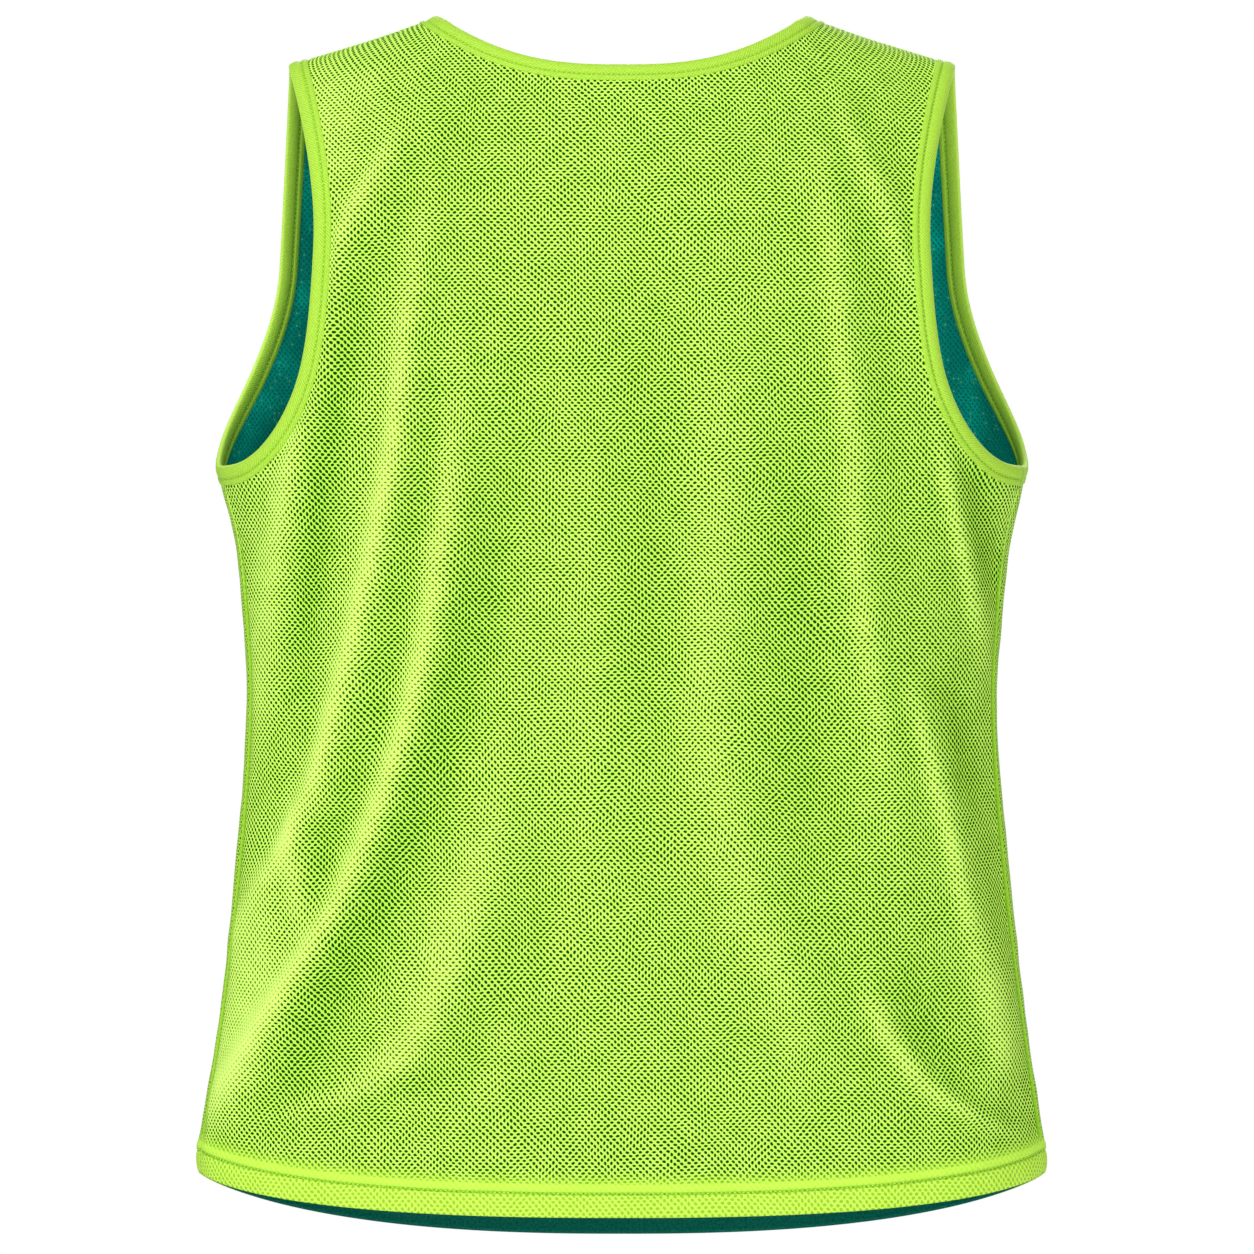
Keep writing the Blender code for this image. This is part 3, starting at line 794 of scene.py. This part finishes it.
lime_thread = thread("lime_thread", rgba(160, 214, 50), rgba(204, 248, 104))
neck_stitches = binding_stitches("neck_stitches", neck_ring(48), lime_thread, "neck_binding")
left_stitches = binding_stitches("armhole_stitches_left", armhole_ring(-1, 40, 60), lime_thread,
                                 "armhole_binding_left")
right_stitches = binding_stitches("armhole_stitches_right", armhole_ring(1, 40, 60), lime_thread,
                                  "armhole_binding_right")


# Hem seams
# Each panel's hem is turned up inside and held by a cover stitch: one row outside in a sunk seam, one
# along the top of the strip above it, and two looped rows inside.
HEM_STITCH = 2.6


def cloth_line(panel, folds, stops):
    """Points and normals of the finished cloth at places (across, down) on a panel."""
    points, normals = [], []
    for across, down in stops:
        point, normal = body(panel, across, down), outward(panel, across, down)
        points.append(point + normal * crease_rise(panel, folds, point, across, down))
        normals.append(normal)
    return points, normals


def welt(bm, points, normals, half_width, rise, base):
    """A low rounded ridge of cloth laid along a line, with its foot sunk in the cloth."""
    grid = bmesh.ops.create_grid(bm, x_segments=len(points) - 1, y_segments=4, size=1)
    for vert in grid["verts"]:
        k = round((vert.co.x + 1) / 2 * (len(points) - 1))
        row = round((vert.co.y + 1) * 2) - 2
        along = points[min(k + 1, len(points) - 1)] - points[max(k - 1, 0)]
        aside = normals[k].cross(along).normalized()
        lift = base + rise * (1 - (row / 2) ** 2) - 0.3 * (abs(row) == 2)
        vert.co = (points[k] + aside * half_width * row / 2 + normals[k] * lift) * MM


def hem_seam(name, panel, folds, face, material, slot, node):
    bm = bmesh.new()
    for down, rise in ((HEM_SEAM, 0.12), (3.03, 0.5)) if face > 0 else ((HEM_SEAM, 0), (3.12, 0)):
        points, normals = cloth_line(panel, folds, [(k / 60, down) for k in range(-119, 120)])
        lift = face * (LAYER_GAP / 2 + LAYER_WALL + rise)
        stitch_row(bm, [point + normal * lift for point, normal in zip(points, normals)], normals, HEM_STITCH)
    return finished(bm, name, material, slot, node)


teal_thread = thread("teal_thread", rgba(0, 92, 76), rgba(10, 130, 108))
back_hem_seam = hem_seam("back_hem_seam", BACK, BACK_FOLDS, 1, lime_thread, "lime_mesh", "back_panel")
front_hem_seam = hem_seam("front_hem_seam", FRONT, FRONT_FOLDS, 1, lime_thread, "lime_mesh", "front_panel")
back_hem_inside = hem_seam("back_hem_inside", BACK, BACK_FOLDS, -1, teal_thread, "teal_mesh", "back_lining")
front_hem_inside = hem_seam("front_hem_inside", FRONT, FRONT_FOLDS, -1, teal_thread, "teal_mesh",
                            "front_lining")


# Side and shoulder seams
# The two panels are overlocked together down the sides and over the shoulders. Outside, the back's edge
# shows as a narrow fold beside a row of small stitches that pull the mesh in.
SIDE_WELT = 1.2
SIDE_STITCH = 3.2
SIDE_ROW = 5.6


def edge_seam(name, hand, shoulder, material, node):
    if shoulder:
        stops = [(hand * (1 + k / 40), 0) for k in range(2, 39)]
    else:
        stops = [(2 * hand, 2 + k / 90) for k in range(1, 180)]
    points, normals = cloth_line(BACK, BACK_FOLDS, stops)
    surface = LAYER_GAP / 2 + LAYER_WALL
    bm = bmesh.new()
    welt(bm, points, normals, SIDE_WELT, 0.5, surface - 0.1)
    bmesh.ops.recalc_face_normals(bm, faces=bm.faces)
    shifted = []
    for k, (point, normal) in enumerate(zip(points, normals)):
        along = points[min(k + 1, len(points) - 1)] - points[max(k - 1, 0)]
        aside = Vector((0, -1, 0)) if shoulder else normal.cross(along).normalized()
        aside *= 1 if aside.y < 0 else -1
        shifted.append(point + aside * SIDE_ROW + normal * (surface - 0.15))
    stitch_row(bm, shifted, normals, SIDE_STITCH)
    return finished(bm, name, material, "lime_mesh", node)


for side_name, hand in (("left", -1), ("right", 1)):
    edge_seam("side_seam_" + side_name, hand, False, lime_thread, "back_panel")
    edge_seam("shoulder_seam_" + side_name, hand, True, lime_thread, "back_panel")


# Studio
# A pale floor well below the bib, soft lights from the left, the front, the right, above and behind,
# and white all round. The camera stands level with the middle of the bib, straight behind it.
PHOTO_SIDE = 1254
PIXEL = 0.588 * MM
PHOTO_CENTRE = (622, 17)        # photo place of the origin
CAMERA_DISTANCE = 4.5
FLOOR_HEIGHT = -1.3
FLOOR_RADIUS = 4.0

scene = bpy.context.scene
camera_data = bpy.data.cameras.new("camera")
camera_data.sensor_width = 36
camera_data.lens = camera_data.sensor_width * CAMERA_DISTANCE / (PHOTO_SIDE * PIXEL)
camera = bpy.data.objects.new("camera", camera_data)
camera.location = ((PHOTO_SIDE / 2 - PHOTO_CENTRE[0]) * PIXEL, -CAMERA_DISTANCE,
                   (PHOTO_CENTRE[1] - PHOTO_SIDE / 2) * PIXEL)
camera.rotation_euler = (math.radians(90), 0, 0)
scene.collection.objects.link(camera)
scene.camera = camera


def soft_light(name, place, size, power):
    data = bpy.data.lights.new(name, "AREA")
    data.size = size
    data.energy = power
    lamp = bpy.data.objects.new(name, data)
    lamp.location = place
    towards = Vector((0, 0, -0.35)) - lamp.location
    lamp.rotation_euler = towards.to_track_quat("-Z", "Y").to_euler()
    scene.collection.objects.link(lamp)


soft_light("key", (-2.9, -2.9, 1.0), 1.2, 72)
soft_light("front", (0.3, -4.4, 0.1), 0.8, 58)
soft_light("fill", (3.0, -2.8, 0.0), 2.5, 32)
soft_light("top", (-0.6, -1.0, 2.8), 1.5, 36)
soft_light("behind", (0.6, 3.4, 1.0), 2.5, 90)

floor_mesh = bmesh.new()
bmesh.ops.create_circle(floor_mesh, cap_ends=True, segments=96, radius=FLOOR_RADIUS,
                        matrix=Matrix.Translation((0, 0, FLOOR_HEIGHT)))
floor_data = bpy.data.meshes.new("floor")
floor_mesh.to_mesh(floor_data)
floor_mesh.free()
floor = bpy.data.objects.new("floor", floor_data)
floor_paint = Nodes("floor")
floor_paint.shader.inputs["Base Color"].default_value = (0.9, 0.9, 0.9, 1)
floor_paint.shader.inputs["Roughness"].default_value = 0.9
floor_data.materials.append(floor_paint.material)
scene.collection.objects.link(floor)

world = bpy.data.worlds.new("white")
world.use_nodes = True
world_nodes = world.node_tree
sky = world_nodes.nodes["Background"]
sky.inputs["Color"].default_value = (1, 1, 1, 1)
seen = world_nodes.nodes.new("ShaderNodeLightPath")
strength = world_nodes.nodes.new("ShaderNodeMapRange")
strength.inputs["To Min"].default_value = 0.4
strength.inputs["To Max"].default_value = 1.0
world_nodes.links.new(seen.outputs["Is Camera Ray"], strength.inputs["Value"])
world_nodes.links.new(strength.outputs[0], sky.inputs["Strength"])
scene.world = world
scene.view_settings.view_transform = "Standard"
